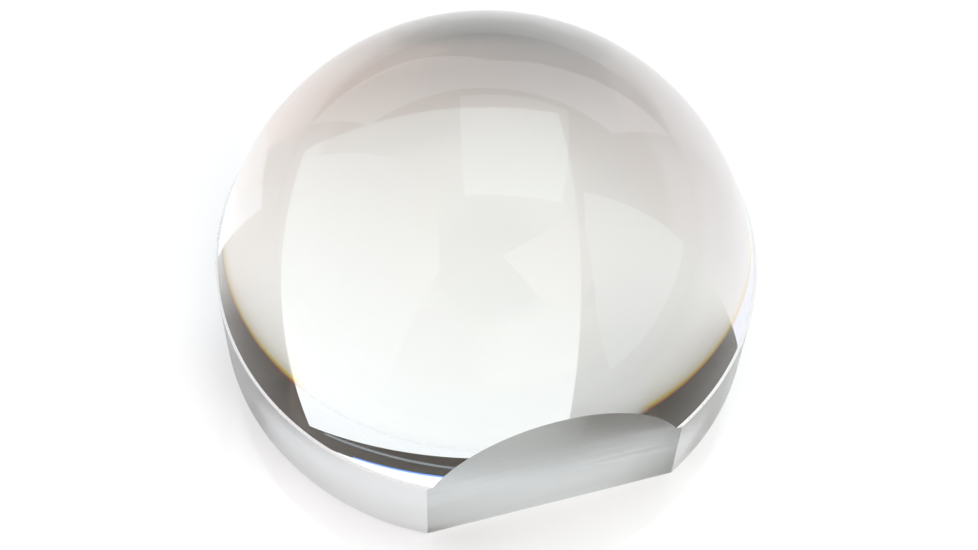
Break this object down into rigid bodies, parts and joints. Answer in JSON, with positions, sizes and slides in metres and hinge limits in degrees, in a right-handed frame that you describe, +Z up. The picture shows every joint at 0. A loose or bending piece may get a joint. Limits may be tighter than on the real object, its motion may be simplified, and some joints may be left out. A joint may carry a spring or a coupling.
{
  "type": "optical glass dome",
  "caption": "Solid clear glass dome with a polished near-hemispherical top, a short ground rim, one ground side flat and a polished flat base.",
  "frame": {"origin": "where the optical axis meets the polished base face", "axes": "+Z up the optical axis to the top of the dome, -Y out of the ground side flat, X along the flat"},
  "size_m": [0.08, 0.0755, 0.0472],
  "materials": {
    "optical_glass": "polished dome and base, fine-ground rim and side flat"
  },
  "bodies": {
    "root": {"glass_dome": "optical_glass"}
  },
  "joints": []
}
